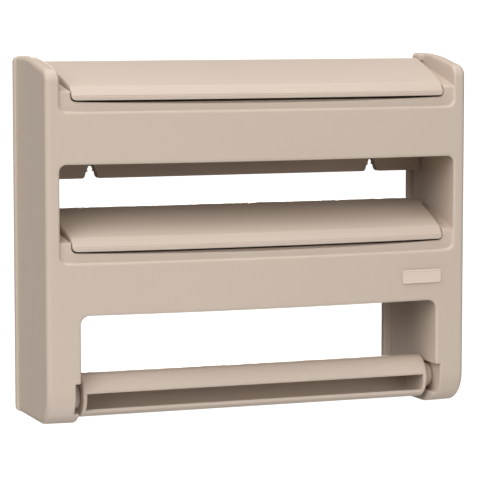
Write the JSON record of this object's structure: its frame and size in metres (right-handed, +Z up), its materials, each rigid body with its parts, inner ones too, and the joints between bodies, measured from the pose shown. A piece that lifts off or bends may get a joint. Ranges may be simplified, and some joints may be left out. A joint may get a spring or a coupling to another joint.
{
  "type": "cling film and towel roll dispenser",
  "caption": "Wall-hung kitchen dispenser: lidded compartments for cling film or foil rolls over an open bay with a slotted towel bar.",
  "frame": {"origin": "on the wall plane, in the middle of the flat back of the rear frame's upper cross rail", "axes": "+X runs across the width to the viewer's right, +Y points into the wall, +Z is up; the front faces -Y"},
  "size_m": [0.37, 0.1035, 0.295],
  "materials": {
    "shell": "satin, fine moulded grain",
    "lid": "satin, fine moulded grain",
    "trough": "satin, fine moulded grain",
    "bar": "satin, fine moulded grain",
    "hub": "satin, fine moulded grain",
    "pin": "satin, fine moulded grain",
    "cutter": "plain",
    "plate": "smooth",
    "screw": "zinc plated"
  },
  "bodies": {
    "case": {"housing": "shell", "rear_frame": "shell", "upper_trough": "trough", "middle_trough": "trough", "blank_plate": "plate", "frame_screw_1": "screw", "frame_screw_2": "screw", "frame_screw_3": "screw", "frame_screw_4": "screw", "frame_screw_5": "screw", "frame_screw_6": "screw", "frame_screw_7": "screw", "frame_screw_8": "screw", "middle_lid_pin_left": "pin", "middle_lid_pin_right": "pin", "upper_lid_pin_left": "pin", "upper_lid_pin_right": "pin"},
    "upper_lid_body": {"upper_lid": "lid", "upper_cutter": "cutter"},
    "middle_lid_body": {"middle_lid": "lid", "middle_cutter": "cutter"},
    "bar_carrier": {"bar_hub_left": "hub", "bar_hub_right": "hub"},
    "bar_roller": {"towel_bar": "bar"}
  },
  "joints": [
    {"name": "upper_lid_hinge", "type": "hinge", "parent": "case", "child": "upper_lid_body", "pos_m": [0, -0.0235, 0.0575], "axis": [-1, 0, 0], "range_deg": [0, 110]},
    {"name": "middle_lid_hinge", "type": "hinge", "parent": "case", "child": "middle_lid_body", "pos_m": [0, -0.0235, -0.0628], "axis": [-1, 0, 0], "range_deg": [0, 50]},
    {"name": "bar_lift_off", "type": "slide", "parent": "case", "child": "bar_carrier", "axis": [0, -1, 0], "range_m": [0, 0.06]},
    {"name": "bar_spin", "type": "hinge", "parent": "bar_carrier", "child": "bar_roller", "pos_m": [0, -0.0686, -0.2046], "axis": [1, 0, 0], "continuous": true}
  ]
}
